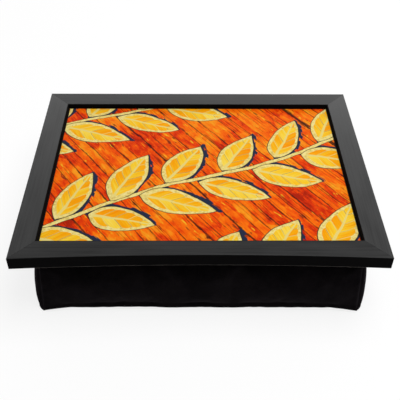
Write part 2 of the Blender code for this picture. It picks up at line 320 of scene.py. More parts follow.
def foil_top(name, gloss):
    """Satin black foil, with a grain along the rail."""
    paint = Paint(name)
    fine = paint.drawn_out(FINE_GRAIN, 4, 0.6)
    broad = paint.drawn_out(BROAD_GRAIN, 3, 0.6)
    clouds = paint.drawn_out(FOIL_CLOUDS, 3, 0.5)
    tone = paint.total((fine, FINE_GRAIN_SHARE), (clouds, CLOUD_SHARE), (broad, BROAD_GRAIN_SHARE))
    dark, light = (0.003, 0.003, 0.0031, 1), (0.018, 0.018, 0.0182, 1)
    paint.set(
        Base_Color=paint.ramp(tone, [(0.36, dark), (0.64, light)]),
        Roughness=paint.smooth(tone, 0.38, 0.62, 0.28, 0.4),
        Specular_IOR_Level=gloss,
    )
    paint.bump(fine, FOIL_RELIEF, 0.6)
    return paint.material


def foil_side_painted_shade():
    """The rails' sides and the lip's inner arris: a matt black, darker than real paint, which paints in the
    shade of faces turned from the light above.
    """
    paint = Paint("black_foil_side_painted_shade")
    clouds = paint.drawn_out(EDGE_CLOUDS, 4, 0.6)
    dark, light = (0.0032, 0.0030, 0.0031, 1), (0.0062, 0.0058, 0.0059, 1)
    paint.set(
        Base_Color=paint.ramp(clouds, [(0.3, dark), (0.75, light)]),
        Roughness=paint.smooth(clouds, 0.3, 0.7, 0.72, 0.86),
        Specular_IOR_Level=0.015,
    )
    paint.bump(paint.drawn_out(EDGE_PORES, 3), PORE_RELIEF, 0.5)
    return paint.material


def foil_foot_painted_reflection():
    """The rails' lower arris, paler and a little brown: mostly a painted reflection of the pale floor, and
    partly wear.
    """
    paint = Paint("black_foil_foot_painted_reflection")
    wear_and_reflection = paint.drawn_out(FOOT_WEAR_AND_REFLECTION, 4, 0.65)
    paint.set(
        Base_Color=paint.ramp(wear_and_reflection, [(0.35, (0.09, 0.08, 0.07, 1)), (0.65, (0.36, 0.32, 0.28, 1))]),
        Roughness=paint.smooth(wear_and_reflection, 0.3, 0.7, 0.5, 0.7),
        Specular_IOR_Level=0.2,
    )
    paint.bump(wear_and_reflection, FOIL_RELIEF, 0.5)
    return paint.material


def black_board(name, light, scale):
    """Black fibreboard: matted fibres on a dark ground."""
    paint = Paint(name)
    fibre = paint.noise(paint.mapped(paint.place, FIBRE_STRETCH), scale, 6, 0.7)
    dark = [share * 0.5 for share in light]
    paint.set(
        Base_Color=paint.ramp(fibre, [(0.3, (*dark, 1)), (0.7, (*light, 1))]),
        Roughness=paint.smooth(fibre, 0.3, 0.7, 0.7, 0.9),
        Specular_IOR_Level=0.06,
    )
    paint.bump(fibre, FIBRE_RELIEF, 0.6)
    return paint.material


def steel():
    """Bare strip, drawn lengthwise."""
    paint = Paint("bare_steel")
    streak = paint.drawn_out(STEEL_STREAKS, 3, 0.6)
    paint.set(
        Base_Color=paint.ramp(streak, [(0.3, (0.42, 0.43, 0.44, 1)), (0.7, (0.62, 0.63, 0.64, 1))]),
        Roughness=paint.smooth(streak, 0.3, 0.7, 0.28, 0.46),
        Metallic=1.0,
    )
    return paint.material


def tape(name, tone, pile_scale, pile_height):
    """Nylon touch tape: rows of hooks, or a tangle of loops."""
    paint = Paint(name)
    pile = paint.patches(paint.place, pile_scale, randomness=0.45)
    tangle = paint.noise(paint.place, pile_scale * 0.7, 3, 0.6)
    height = paint.math("SUBTRACT", tangle, pile)
    dark, light = (tone * 0.4, tone * 0.4, tone * 0.42, 1), (tone, tone, tone, 1)
    paint.set(
        Base_Color=paint.ramp(height, [(0.0, dark), (0.6, light)]),
        Roughness=paint.smooth(tangle, 0.3, 0.7, 0.6, 0.9),
        Specular_IOR_Level=0.12,
    )
    paint.bump(height, pile_height, 0.8)
    return paint.material


def velvet():
    """Short black pile, crushed into soft lighter and darker patches."""
    paint = Paint("black_velvet")
    patch = paint.noise(paint.place, VELVET_PATCHES, 5, 0.62)
    nap = paint.noise(paint.place, VELVET_NAP, 4, 0.6)
    pile = paint.noise(paint.place, VELVET_PILE, 2, 0.6)
    tone = paint.total((nap, NAP_SHARE), (patch, PATCH_SHARE))
    dark, light = (0.0008, 0.0006, 0.0007, 1), (0.0052, 0.0041, 0.0046, 1)
    paint.set(
        Base_Color=paint.ramp(tone, [(0.38, dark), (0.62, light)]),
        Roughness=paint.smooth(nap, 0.3, 0.7, 0.86, 0.98),
        Specular_IOR_Level=0.02,
        Sheen_Weight=0.1,
        Sheen_Roughness=0.5,
        Sheen_Tint=(0.5, 0.42, 0.5, 1),
    )
    paint.bump(pile, PILE_RELIEF, 0.5)
    paint.bump(nap, NAP_RELIEF, 0.35)
    return paint.material


# Panel print: leafy sprigs in rows, painted in oils over a ground of long strokes
SPRIG_TURN = math.radians(-24)
ROW_PITCH = 0.176
ROW_SHIFT = 0.047
ROW_PLACE = 0.020
SPRIG_SWAY = 0.007
SPRIG_SWAY_RATE = 19.0
LEAF_PITCH = 0.074
LEAF_TURN = math.radians(40)
LEAF_HALF_LENGTH = 0.049
LEAF_HALF_WIDTH = 0.0212
LEAF_STALK = 0.004
LEAF_TAPER = 0.28
LEAF_MOST_SHRINK = 1.14
RIM_WIDTH = 0.0034
RIM_SCALLOP = 0.0020
RAGGEDNESS = 0.0016
OUTLINE_WIDTH = 0.0007
SHADOW_WIDTH = 0.0075
SHADOW_BLOCK = (0.013, 0.0052)
SHADOW_SIDE_BLUR = 0.004
EDGE_BLUR = 0.0004
STEM_HALF_WIDTH = 0.0024
VEIN_PITCH = 0.0165
VEIN_HALF_WIDTH = 0.0006
VEIN_SLANT = 1.1
RIB_HALF_WIDTH = 0.0013
RIB_TAPER = 0.016
WARP_WIDE = 0.008
WARP_FINE = 0.0011
STROKE_TURN = math.radians(54)
STROKE_PITCH = 0.0165
STROKE_UNEVENNESS = 2.4
WIDTH_CHANGES_A_PITCH = 0.45
SMUDGE_REACH = 0.005
HAIR_PITCH = 0.0062
STROKE_BEND = 0.0045
LINE_HALF_WIDTH = 0.0002
LINE_THICK_HALF_WIDTH = 0.0011
LINE_BLUR = 0.0006
PRINT_MARGIN = 0.0002
MARGIN_BLUR = 0.0005
PRINT_RELIEF = 0.00006

# The print's long marks: how often they repeat in a metre along the strokes, and across them
STREAKS = (24, 330)
BLOTCHES = (60, 110)
DAB_CELLS = (62, 150)
DABS = (52, 210)

# Marks of each stroke's own: how often they repeat in a metre, and how far off the next stroke's lie
PLANKS = (9, 7.7)
LINE_BREAKS = (16, 5.3)

# A leaf's streaks: how often they repeat in a metre across its veins, and along them
LEAF_STREAKS = (380, 45)

# The print's round marks: how often they repeat in a metre
WIDE_WARPS = 20
FINE_WARPS = 170
FIELDS = 7
LINE_SWELLS = 70
MOTTLES = 260
RAGS = 420
SPECKS = 640
LAMINATE_GRAIN = 900

# How far apart leaves lie in the patterns of their facets and streaks, so that each has its own
FACET_SPREAD = 37
STREAK_SPREAD = 50

# How much of what is under them the marks cover
DAB_COVER = 0.7
SMUDGE_COVER = 0.8
HAIR_COVER = 0.55
LINE_COVER = 0.9
OUTLINE_COVER = 0.9
VEIN_COVER = 0.85
CRACK_COVER = 0.75
SPECK_COVER = 0.7

DEEP_RED = srgb(176, 34, 6)
RED = srgb(224, 52, 4)
RED_ORANGE = srgb(246, 84, 4)
ORANGE = srgb(255, 118, 8)
RIPE_ORANGE = srgb(255, 132, 2)
PALE_ORANGE = srgb(255, 160, 30)
DEEP_AMBER = srgb(255, 158, 2)
AMBER = srgb(255, 172, 6)
YELLOW = srgb(255, 206, 44)
PALE_YELLOW = srgb(255, 224, 90)
STRAW = srgb(208, 176, 90)
CREAM = srgb(240, 218, 126)
PALE_CREAM = srgb(250, 234, 160)
RUSSET = srgb(112, 50, 22)
SLATE = srgb(36, 44, 68)
SOOT = srgb(34, 14, 12)

GROUND_STOPS = (
    (0.28, DEEP_RED),
    (0.38, RED),
    (0.47, RED_ORANGE),
    (0.58, ORANGE),
    (0.72, PALE_ORANGE),
    (0.88, YELLOW),
)
LEAF_STOPS = ((0.14, RIPE_ORANGE), (0.3, DEEP_AMBER), (0.46, AMBER), (0.68, YELLOW), (0.9, PALE_YELLOW))
RIM_STOPS = ((0.32, STRAW), (0.48, CREAM), (0.66, PALE_CREAM))


def leaf_place(paint, where):
    """A point's place in its own leaf: along it from its middle, across it, and a random share for each leaf.

    Sprigs lie in rows. Leaves leave a sprig's stem in turn to each side, all at one angle, so a grid sheared
    by that angle holds one leaf a cell. The last value is the distance from the stem."""
    along, across, _ = paint.parts(paint.mapped(where, turn=SPRIG_TURN, shift=(0, ROW_PLACE, 0)))
    row = paint.math("ROUND", paint.math("DIVIDE", across, ROW_PITCH))
    along = paint.math("MULTIPLY_ADD", row, ROW_SHIFT, along)
    across = paint.math("MULTIPLY_ADD", row, -ROW_PITCH, across)
    sway = paint.math("SINE", paint.math("MULTIPLY", along, SPRIG_SWAY_RATE))
    across = paint.math("MULTIPLY_ADD", sway, SPRIG_SWAY, across)
    side = paint.math("SIGN", across)
    away = paint.math("ABSOLUTE", across)
    along = paint.math("MULTIPLY_ADD", side, LEAF_PITCH / 4, along)
    cell = paint.cell(paint.math("MULTIPLY_ADD", away, -1 / math.tan(LEAF_TURN), along), LEAF_PITCH)
    root = paint.math("MULTIPLY", paint.math("ADD", cell, 0.5), LEAF_PITCH)
    from_root = paint.math("SUBTRACT", along, root)
    cosine, sine = math.cos(LEAF_TURN), math.sin(LEAF_TURN)
    up = paint.math("MULTIPLY_ADD", away, sine, paint.math("MULTIPLY", from_root, cosine))
    over = paint.math("MULTIPLY_ADD", away, cosine, paint.math("MULTIPLY", from_root, -sine))
    up = paint.math("SUBTRACT", up, LEAF_STALK + LEAF_HALF_LENGTH)
    return up, over, paint.chance(cell, row, side), away


def leaf_distance(paint, up, over, chance):
    """The distance outside a leaf's outline, negative inside: a lens, widest nearer its root."""
    half_width = LEAF_HALF_WIDTH
    radius = (LEAF_HALF_LENGTH**2 + half_width**2) / (2 * half_width)
    shrink = paint.smooth(chance, 0, 1, 1.0, LEAF_MOST_SHRINK)
    up = paint.math("MULTIPLY", up, shrink)
    over = paint.math("MULTIPLY", over, shrink)
    wide = paint.math("MULTIPLY_ADD", up, LEAF_TAPER / LEAF_HALF_LENGTH, 1.0)
    spread = paint.math("MULTIPLY", paint.math("ABSOLUTE", over), wide)
    spread = paint.math("ADD", spread, radius - half_width)
    return paint.math("SUBTRACT", paint.vector("LENGTH", paint.joined(up, spread)), radius)


def strokes(paint, across, pitch, seed):
    """Long strokes side by side, of uneven width: each one's number, and the distance to its border."""
    uneven = paint.noise(paint.joined(seed, across), WIDTH_CHANGES_A_PITCH / pitch, 1)
    uneven = paint.math("MULTIPLY", paint.math("SUBTRACT", uneven, 0.5), STROKE_UNEVENNESS)
    place = paint.math("ADD", paint.math("DIVIDE", across, pitch), uneven)
    number = paint.math("FLOOR", place)
    share = paint.math("FRACT", place)
    nearer = paint.math("MINIMUM", share, paint.math("SUBTRACT", 1, share))
    return number, paint.math("MULTIPLY", nearer, pitch)


def broken_lines(paint, along, across, number, border, seed, least):
    """Thin dark lines along the strokes' borders, each of which comes and goes."""
    there = paint.noise(paint.stretched(along, number, LINE_BREAKS, seed), 1, 2)
    thick = paint.noise(paint.joined(along, across, seed), LINE_SWELLS, 3, 0.6)
    half_width = paint.smooth(thick, 0.4, 0.75, LINE_HALF_WIDTH, LINE_THICK_HALF_WIDTH)
    line = paint.within(border, half_width, LINE_BLUR)
    return paint.math("MULTIPLY", line, paint.smooth(there, least, least + 0.1))


def ground_strokes(paint, along, across, number):
    """The red to yellow of the strokes, uneven from one to the next and along each."""
    plank = paint.noise(paint.stretched(along, number, PLANKS), 1, 3, 0.6)
    field = paint.noise(paint.joined(along, across), FIELDS, 1)
    streak = paint.noise(paint.stretched(along, across, STREAKS), 1, 4, 0.6)
    blotch = paint.noise(paint.stretched(along, across, BLOTCHES), 1, 4, 0.65)
    dab = paint.parts(paint.patches(paint.stretched(along, across, DAB_CELLS), 1, output="Color"))[0]
    tone = paint.total((plank, 1), (field, 0.5), (streak, 0.3), (blotch, 0.5), (dab, 0.14))
    return paint.ramp(paint.math("SUBTRACT", tone, 0.7), GROUND_STOPS)


def ground_colour(paint, along, across):
    """Red and orange strokes that cross the sprigs, with dark lines between them, amber dabs and smudges."""
    number, border = strokes(paint, across, STROKE_PITCH, seed=3.0)
    colour = ground_strokes(paint, along, across, number)
    dabs = paint.noise(paint.stretched(along, across, DABS, 4), 1, 3, 0.6)
    colour = paint.mix(paint.smooth(dabs, 0.63, 0.69, 0, DAB_COVER), colour, YELLOW)
    near_border = paint.smooth(border, 0, SMUDGE_REACH, 0.09, 0)
    smudges = paint.smooth(paint.math("SUBTRACT", dabs, near_border), 0.36, 0.28, 0, SMUDGE_COVER)
    colour = paint.mix(smudges, colour, RUSSET)
    hair_number, hair_border = strokes(paint, across, HAIR_PITCH, seed=8.0)
    hairs = broken_lines(paint, along, across, hair_number, hair_border, seed=2.0, least=0.52)
    colour = paint.mix(paint.math("MULTIPLY", hairs, HAIR_COVER), colour, SOOT)
    lines = broken_lines(paint, along, across, number, border, seed=6.0, least=0.38)
    return paint.mix(paint.math("MULTIPLY", lines, LINE_COVER), colour, SOOT)


def leaf_colour(paint, up, over, slant, chance):
    """Amber to yellow facets between side veins, streaked along them, with cream veins and hair cracks."""
    away = paint.math("ABSOLUTE", over)
    side = paint.math("SIGN", over)
    pitches = paint.math("DIVIDE", slant, VEIN_PITCH)
    facet = paint.math("ROUND", pitches)
    own = paint.chance(facet, side, paint.math("MULTIPLY", chance, FACET_SPREAD))
    apart = paint.math("MULTIPLY", chance, STREAK_SPREAD)
    streak_place = paint.stretched(slant, over, LEAF_STREAKS, apart)
    streaks = paint.noise(streak_place, 1, 4, 0.62)
    tone = paint.total((own, 0.42), (away, -9), (streaks, 0.8), (side, 0.07))
    colour = paint.ramp(tone, LEAF_STOPS)
    from_middle = paint.math("MULTIPLY", paint.math("SUBTRACT", pitches, facet), VEIN_PITCH)
    from_vein = paint.math("SUBTRACT", VEIN_PITCH / 2, paint.math("ABSOLUTE", from_middle))
    colour = paint.mix(paint.within(from_vein, VEIN_HALF_WIDTH, EDGE_BLUR, VEIN_COVER), colour, CREAM)
    crack = paint.within(from_vein, 0, LINE_HALF_WIDTH + LINE_BLUR, CRACK_COVER)
    broken = paint.smooth(paint.noise(streak_place, 0.3, 2), 0.46, 0.56)
    colour = paint.mix(paint.math("MULTIPLY", crack, broken), colour, RUSSET)
    rib_edge = paint.math("MULTIPLY_ADD", up, -RIB_TAPER, RIB_HALF_WIDTH)
    return paint.mix(paint.within(away, rib_edge, EDGE_BLUR), colour, CREAM)


def leaf_shadow(paint, along, across, outside, over):
    """Slate under one side of each leaf, broken into blocks along the ground's strokes."""
    block_along, block_across = SHADOW_BLOCK
    block = paint.chance(paint.cell(along, block_along), paint.cell(across, block_across), 1.0)
    reach = paint.smooth(over, -SHADOW_SIDE_BLUR, SHADOW_SIDE_BLUR, 1, 0.1)
    reach = paint.math("MULTIPLY", reach, SHADOW_WIDTH)
    reach = paint.math("MULTIPLY", reach, paint.math("MULTIPLY_ADD", block, 0.95, 0.25))
    return paint.within(outside, reach, EDGE_BLUR)


def leaf_blade(paint, outside, slant, ragged):
    """1 on a leaf inside its rim, whose inner line is scalloped from vein to vein."""
    arch = paint.math("ABSOLUTE", paint.math("COSINE", paint.math("MULTIPLY", slant, math.pi / VEIN_PITCH)))
    rim_start = paint.math("MULTIPLY_ADD", arch, RIM_SCALLOP, -RIM_WIDTH - RIM_SCALLOP)
    rim_start = paint.math("MULTIPLY_ADD", ragged, -RAGGEDNESS, rim_start)
    return paint.within(outside, rim_start, EDGE_BLUR)


def rim_colour(paint, mottle):
    """Mottled cream with russet specks, for the leaves' rims and the stems."""
    specks = paint.smooth(paint.noise(paint.place, SPECKS, 2), 0.69, 0.73, 0, SPECK_COVER)
    return paint.mix(specks, paint.ramp(mottle, RIM_STOPS), RUSSET)


def sheet_margin(paint):
    """A narrow dark margin along the sheet's edges."""
    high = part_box("print_sheet")[1]
    x, y, _ = paint.parts(paint.place)
    from_side = paint.math("SUBTRACT", high.x, paint.math("ABSOLUTE", x))
    from_front = paint.math("SUBTRACT", high.y, paint.math("ABSOLUTE", y))
    return paint.within(paint.math("MINIMUM", from_side, from_front), PRINT_MARGIN, MARGIN_BLUR)


def warps(paint):
    """Wide and fine wanderings of the brush, as vectors round zero."""
    middle = (0.5, 0.5, 0.5)
    wide = paint.vector("SUBTRACT", paint.noise(paint.place, WIDE_WARPS, 2, colour=True), middle)
    fine = paint.vector("SUBTRACT", paint.noise(paint.place, FINE_WARPS, 3, colour=True), middle)
    return wide, fine


def sprig_picture(paint, mottle):
    """The printed picture: the ground, then stems, shadows and leaves on it."""
    wide, fine = warps(paint)
    where = paint.vector("ADD", paint.place, paint.scaled(fine, WARP_FINE))
    stroke_place = paint.vector("ADD", where, paint.scaled(wide, STROKE_BEND))
    along, across, _ = paint.parts(paint.mapped(stroke_place, turn=STROKE_TURN))
    where = paint.vector("ADD", where, paint.scaled(wide, WARP_WIDE))
    up, over, chance, from_stem = leaf_place(paint, where)
    outside = leaf_distance(paint, up, over, chance)
    slant = paint.math("MULTIPLY_ADD", paint.math("ABSOLUTE", over), -VEIN_SLANT, up)
    ragged = paint.noise(paint.place, RAGS, 3, 0.6)
    rim = rim_colour(paint, mottle)

    colour = ground_colour(paint, along, across)
    colour = paint.mix(leaf_shadow(paint, along, across, outside, over), colour, SLATE)
    stem_reach = paint.math("MULTIPLY_ADD", ragged, RAGGEDNESS, STEM_HALF_WIDTH - RAGGEDNESS / 2)
    stem_outline = paint.math("ADD", stem_reach, OUTLINE_WIDTH)
    colour = paint.mix(paint.within(from_stem, stem_outline, EDGE_BLUR, OUTLINE_COVER), colour, SOOT)
    colour = paint.mix(paint.within(from_stem, stem_reach, EDGE_BLUR), colour, rim)
    colour = paint.mix(paint.within(outside, OUTLINE_WIDTH, EDGE_BLUR, OUTLINE_COVER), colour, SOOT)
    colour = paint.mix(paint.smooth(outside, -EDGE_BLUR, EDGE_BLUR, 1, 0), colour, rim)
    blade = leaf_blade(paint, outside, slant, ragged)
    colour = paint.mix(blade, colour, leaf_colour(paint, up, over, slant, chance))
    return paint.mix(sheet_margin(paint), colour, SOOT)


def sprig_print():
    """The panel's picture under a matt laminate."""
    paint = Paint("orange_print")
    mottle = paint.noise(paint.place, MOTTLES, 4, 0.7)
    paint.set(
        Base_Color=sprig_picture(paint, mottle),
        Roughness=paint.smooth(mottle, 0.3, 0.7, 0.46, 0.58),
        Specular_IOR_Level=0.03,
    )
    paint.bump(paint.noise(paint.place, LAMINATE_GRAIN, 3), PRINT_RELIEF, 0.4)
    return paint.material


def arc(centre, radius, start, end, steps):
    """Points along an arc, with angles in quarter turns."""
    angles = [(start + (end - start) * i / steps) * math.pi / 2 for i in range(steps + 1)]
    return [(centre[0] + radius * math.cos(a), centre[1] + radius * math.sin(a)) for a in angles]


def rail_section():
    """The rail's section as (inset from the outer face, height) points, from the stem's inner foot up."""
    low, high, arris, lip, foot = RAIL_FOOT, RAIL_TOP, ARRIS_RADIUS, LIP_RADIUS, FOOT_ARRIS_RADIUS
    stem = RAIL_WIDTH - LIP_OVERHANG
    return [
        (stem, low),
        (stem, LIP_FOOT),
        (RAIL_WIDTH, LIP_FOOT),
        *arc((RAIL_WIDTH - lip, high - lip), lip, 0, 1, ARRIS_STEPS),
        *arc((arris, high - arris), arris, 1, 2, ARRIS_STEPS),
        *arc((foot, low + foot), foot, 2, 3, ARRIS_STEPS),
    ]


def rail_finish(face):
    """A face's place in the list of finishes: 0 top, 1 outer and inner side (painted shade), 2 underside, 3
    foot arris (painted reflection).
    """
    if face.normal.z < UNDER_NORMAL_LIMIT:
        return 2
    if face.normal.z < -EDGE_NORMAL_LIMIT:
        return 3
    # The lip's inner arris takes the darker side finish, a painted dark line of shade beside the print
    on_lip = face.calc_center_median().y > RAIL_WIDTH - LIP_RADIUS
    return 1 if on_lip or abs(face.normal.z) < EDGE_NORMAL_LIMIT else 0


def rail_mesh(name, half_length, bow):
    """The section drawn along a rail's own X axis, cut to the mitres, with the outer face bowed in."""
    spans = BOW_SPANS if bow else 1
    half_stem = (RAIL_WIDTH - LIP_OVERHANG) / 2
    bm = bmesh.new()
    rings = []
    for span in range(spans + 1):
        share = 2 * span / spans - 1
        ring = []
        for inset, z in rail_section():
            shift = bow * (1 - share**2) if inset < half_stem else 0
            x = share * (half_length - MITRE_SETBACK - inset)
            ring.append(bm.verts.new((x, inset + shift, z)))
        rings.append(ring)
    bm.faces.new(rings[0])
    bm.faces.new(rings[-1])
    for near, far in zip(rings, rings[1:]):
        for i, vert in enumerate(near):
            bm.faces.new((near[i - 1], vert, far[i], far[i - 1]))
    bmesh.ops.recalc_face_normals(bm, faces=bm.faces)
    for face in bm.faces:
        face.smooth = True
        face.material_index = rail_finish(face)
    mesh = bpy.data.meshes.new(name)
    bm.to_mesh(mesh)
    bm.free()
    return mesh


def make_rail(side, turn, reach, half_length, bow, finishes):
    """A wrapped rail in the place of its solid."""
    mesh = rail_mesh(f"wrapped_rail_{side}", half_length, bow)
    for finish in finishes:
        mesh.materials.append(finish)
    mesh.set_sharp_from_angle(angle=SHARP_ANGLE)
    rail = bpy.data.objects.new(f"wrapped_rail_{side}", mesh)
    bpy.context.collection.objects.link(rail)
    rail.rotation_euler = (0, 0, turn)
    rail.location = (reach * math.sin(turn), -reach * math.cos(turn), 0)
    weighted = rail.modifiers.new("even_shading", "WEIGHTED_NORMAL")
    weighted.keep_sharp = True
    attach(rail, "tray")
    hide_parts(f"rail_{side}")


def make_rails():
    """The side rails wear a glossier copy of the long rails' foil, a painted difference in light that makes
    them show brighter.
    """
    long_top = foil_top("black_foil_long_rails", LONG_RAIL_GLOSS)
    side_top = foil_top("black_foil_side_rails", SIDE_RAIL_GLOSS)
    edge = foil_side_painted_shade()
    underside = black_board("rail_underside", (0.02, 0.019, 0.018), RAIL_FIBRES)
    rest = (edge, underside, foil_foot_painted_reflection())
    make_rail("front", 0, HALF_DEPTH, HALF_LENGTH, FRONT_BOW, (long_top, *rest))
    make_rail("right", math.pi / 2, HALF_LENGTH, HALF_DEPTH, 0, (side_top, *rest))
    make_rail("back", math.pi, HALF_DEPTH, HALF_LENGTH, 0, (long_top, *rest))
    make_rail("left", -math.pi / 2, HALF_LENGTH, HALF_DEPTH, 0, (side_top, *rest))


def nearness(distance, reach):
    """1 at an edge, falling smoothly to 0 at a distance of reach from it."""
    return np.maximum(0, 1 - distance / reach) ** 2


def cushion_surface(u, v, t, slack=0.0):
    """Points on the cushion, and their distances from its side, front and level planes."""
    half_length = TOP_HALF_LENGTH + SIDE_FLARE * (1 - t)
    half_depth = TOP_HALF_DEPTH + FRONT_FLARE * (1 - t)
    from_side = half_length * (1 - np.abs(u))
    from_front = half_depth * (1 - np.abs(v))
    swell = np.maximum(0, np.sin(np.pi * t**SWELL_RISE_SHARE)) ** SWELL_FULLNESS_SHARE
    draw = FOOT_DRAW * (1 - t) ** 2
    x = half_length + (SIDE_BELLY - slack) * swell * (1 - nearness(from_front, SIDE_BELLY_REACH))
    x -= draw * (1 - nearness(from_front, EAR_REACH))
    y = half_depth + (FRONT_BELLY - slack) * swell * (1 - nearness(from_side, FRONT_BELLY_REACH))
    y -= draw * (1 - nearness(from_side, EAR_REACH))
    side_foot = nearness(from_side, FOOT_REACH)
    front_foot = nearness(from_front, FOOT_REACH)
    side_lift = side_foot * (1 - nearness(from_front, EAR_REACH))
    front_lift = front_foot * (1 - nearness(from_side, EAR_REACH))
    edge = np.maximum(side_foot, front_foot)
    low = EAR_LIFT * edge + FOOT_LIFT * (side_lift + front_lift) - FLAT_CUT * (1 - edge)
    side_drop = nearness(from_side, SHOULDER_REACH)
    front_drop = nearness(from_front, SHOULDER_REACH)
    high = CUSHION_HEIGHT - SHOULDER_DROP * (side_drop + front_drop - side_drop * front_drop)
    points = np.stack([u * x, v * y, low + (high - low) * t], 1)
    from_level = CUSHION_HEIGHT * np.minimum(t, 1 - t)
    return points, np.stack([from_side, from_front, from_level], 1)


def graded_lines(length):
    """Places from 0 to a length, close together near both ends."""
    start = list(SEAM_LINES)
    spans = max(2, round((length - 2 * start[-1]) / GRID_STEP))
    middle = np.linspace(start[-1], length - start[-1], spans + 1)[1:-1]
    return np.array([*start, *middle, *[length - place for place in reversed(start)]]) / length


def box_sides(counts):
    """Each side of a box lattice as rows of (i, j, k) places."""
    ni, nj, nk = counts
    return [
        [[(0, j, k) for j in range(nj)] for k in range(nk)],
        [[(ni - 1, j, k) for j in range(nj)] for k in range(nk)],
        [[(i, 0, k) for i in range(ni)] for k in range(nk)],
        [[(i, nj - 1, k) for i in range(ni)] for k in range(nk)],
        [[(i, j, 0) for i in range(ni)] for j in range(nj)],
        [[(i, j, nk - 1) for i in range(ni)] for j in range(nj)],
    ]


def box_mesh(name, lines):
    """The mesh of a cushion on lattice lines along its length, depth and height, with its lattice places."""
    sides = box_sides([len(line) for line in lines])
    keys = sorted({key for rows in sides for row in rows for key in row})
    order = {key: n for n, key in enumerate(keys)}
    places = np.array(keys)
    faces = [
        (order[a], order[b], order[c], order[d])
        for rows in sides
        for low, high in zip(rows, rows[1:])
        for a, b, c, d in zip(low, low[1:], high[1:], high)
    ]
    shares = [line[places[:, axis]] for axis, line in enumerate(lines)]
    points, distances = cushion_surface(*shares)
    mesh = bpy.data.meshes.new(name)
    mesh.from_pydata(points.tolist(), [], faces)
    bm = bmesh.new()
    bm.from_mesh(mesh)
    bmesh.ops.recalc_face_normals(bm, faces=bm.faces)
    bm.to_mesh(mesh)
    bm.free()
    return mesh, places, shares, points, distances


def set_points(mesh, points):
    mesh.vertices.foreach_set("co", points.astype(np.float32).ravel())
    mesh.update()


def mark_held(cover, places, distances, top):
    """Makes vertex groups of the seams, and of all that is held: seams, and the flats at foot and top."""
    from_edge = np.minimum(distances[:, 0], distances[:, 1])
    on_floor = (places[:, 2] == 0) & (from_edge > FOOT_REACH)
    under_board = (places[:, 2] == top) & (from_edge > HELD_TOP_INSET)
    on_seam = np.sort(distances, axis=1)[:, 1] == 0
    for name, chosen in (("held", on_floor | under_board | on_seam), ("seams", on_seam)):
        group = cover.vertex_groups.new(name=name)
        group.add([int(i) for i in np.nonzero(chosen)[0]], 1.0, "REPLACE")


def blow_up(cover):
    """The cover's points after it is blown up as cloth, with panels a little too large for their seams."""
    cloth = cover.modifiers.new("cloth", "CLOTH")
    settings = cloth.settings
    settings.quality = CLOTH_QUALITY
    settings.mass = CLOTH_MASS
    settings.tension_stiffness = CLOTH_STIFFNESS
    settings.compression_stiffness = CLOTH_STIFFNESS
    settings.shear_stiffness = CLOTH_SHEAR
    settings.bending_stiffness = CLOTH_BENDING
    settings.air_damping = CLOTH_DAMPING
    settings.use_pressure = True
    settings.uniform_pressure_force = PRESSURE
    settings.vertex_group_mass = "held"
    settings.vertex_group_shrink = "seams"
    settings.shrink_min = -PANEL_GROWTH_SHARE
    settings.shrink_max = 0
    settings.effector_weights.gravity = 0
    cloth.point_cache.frame_end = CLOTH_FRAMES
    for step in range(1, CLOTH_FRAMES + 1):
        bpy.context.scene.frame_set(step)
    blown = cover.evaluated_get(bpy.context.evaluated_depsgraph_get()).data
    return np.array([vert.co for vert in blown.vertices])


def cloth_shift():
    """A coarse lattice's lines, and how far its places move when the slack cover is blown up."""
    lines = [
        np.linspace(-1, 1, round(2 * TOP_HALF_LENGTH / COARSE_STEP) + 1),
        np.linspace(-1, 1, round(2 * TOP_HALF_DEPTH / COARSE_STEP) + 1),
        np.linspace(0, 1, round(CUSHION_HEIGHT / COARSE_STEP) + 1),
    ]
    mesh, places, shares, goal, distances = box_mesh("slack_cover", lines)
    start, _ = cushion_surface(*shares, slack=SLACK)
    set_points(mesh, start)
    cover = bpy.data.objects.new("slack_cover", mesh)
    bpy.context.collection.objects.link(cover)
    mark_held(cover, places, distances, len(lines[2]) - 1)
    shift = blow_up(cover) - goal
    bpy.data.objects.remove(cover)
    bpy.context.scene.frame_set(1)

    reach = np.linalg.norm(shift, axis=1, keepdims=True)
    shift *= np.minimum(1, MOST_SHIFT / np.maximum(reach, LEAST_REACH))
    lattice = np.zeros((*[len(line) for line in lines], 3))
    lattice[tuple(places.T)] = shift
    return lines, lattice


def carried(lines, lattice, shares):
    """The coarse lattice's shift at finer places on its sides, along smooth curves through its points."""
    axes = []
    for line, values in zip(lines, shares):
        at = np.interp(values, line, np.arange(len(line)))
        low = np.minimum(at.astype(int), len(line) - 2)
        s = at - low
        weights = (
            (-(s**3) + 2 * s**2 - s) / 2,
            (3 * s**3 - 5 * s**2 + 2) / 2,
            (-3 * s**3 + 4 * s**2 + s) / 2,
            (s**3 - s**2) / 2,
        )
        axes.append([(np.clip(low + step, 0, len(line) - 1), w) for step, w in zip((-1, 0, 1, 2), weights)])
    total = 0
    for (i, wi), (j, wj), (k, wk) in itertools.product(*axes):
        total = total + (wi * wj * wk)[:, None] * lattice[i, j, k]
    return total


def from_rest(distances, height_share):
    """How far a point is from the flat that stands on the floor, or from the flat under the board."""
    from_edge = np.minimum(distances[:, 0], distances[:, 1])
    on_level = distances[:, 2] < LEVEL_TOLERANCE
    inward = np.where(height_share < 0.5, FOOT_REACH, SHOULDER_REACH) - from_edge
    return np.where(on_level, np.maximum(0, inward), REST_FADE)


def seam_relief(points, from_seam):
    """The groove and the rolled edges of a sewn seam, and the small gathers beside it."""
    groove = -SEAM_GROOVE * np.exp(-((from_seam / SEAM_GROOVE_REACH) ** 2))
    roll = SEAM_ROLL * np.exp(-(((from_seam - SEAM_ROLL_PLACE) / SEAM_ROLL_REACH) ** 2))
    waves = np.array([noise.noise(Vector(p) * GATHER_SCALE) for p in points])
    return groove + roll + GATHER_HEIGHT * waves * np.exp(-from_seam / GATHER_REACH)


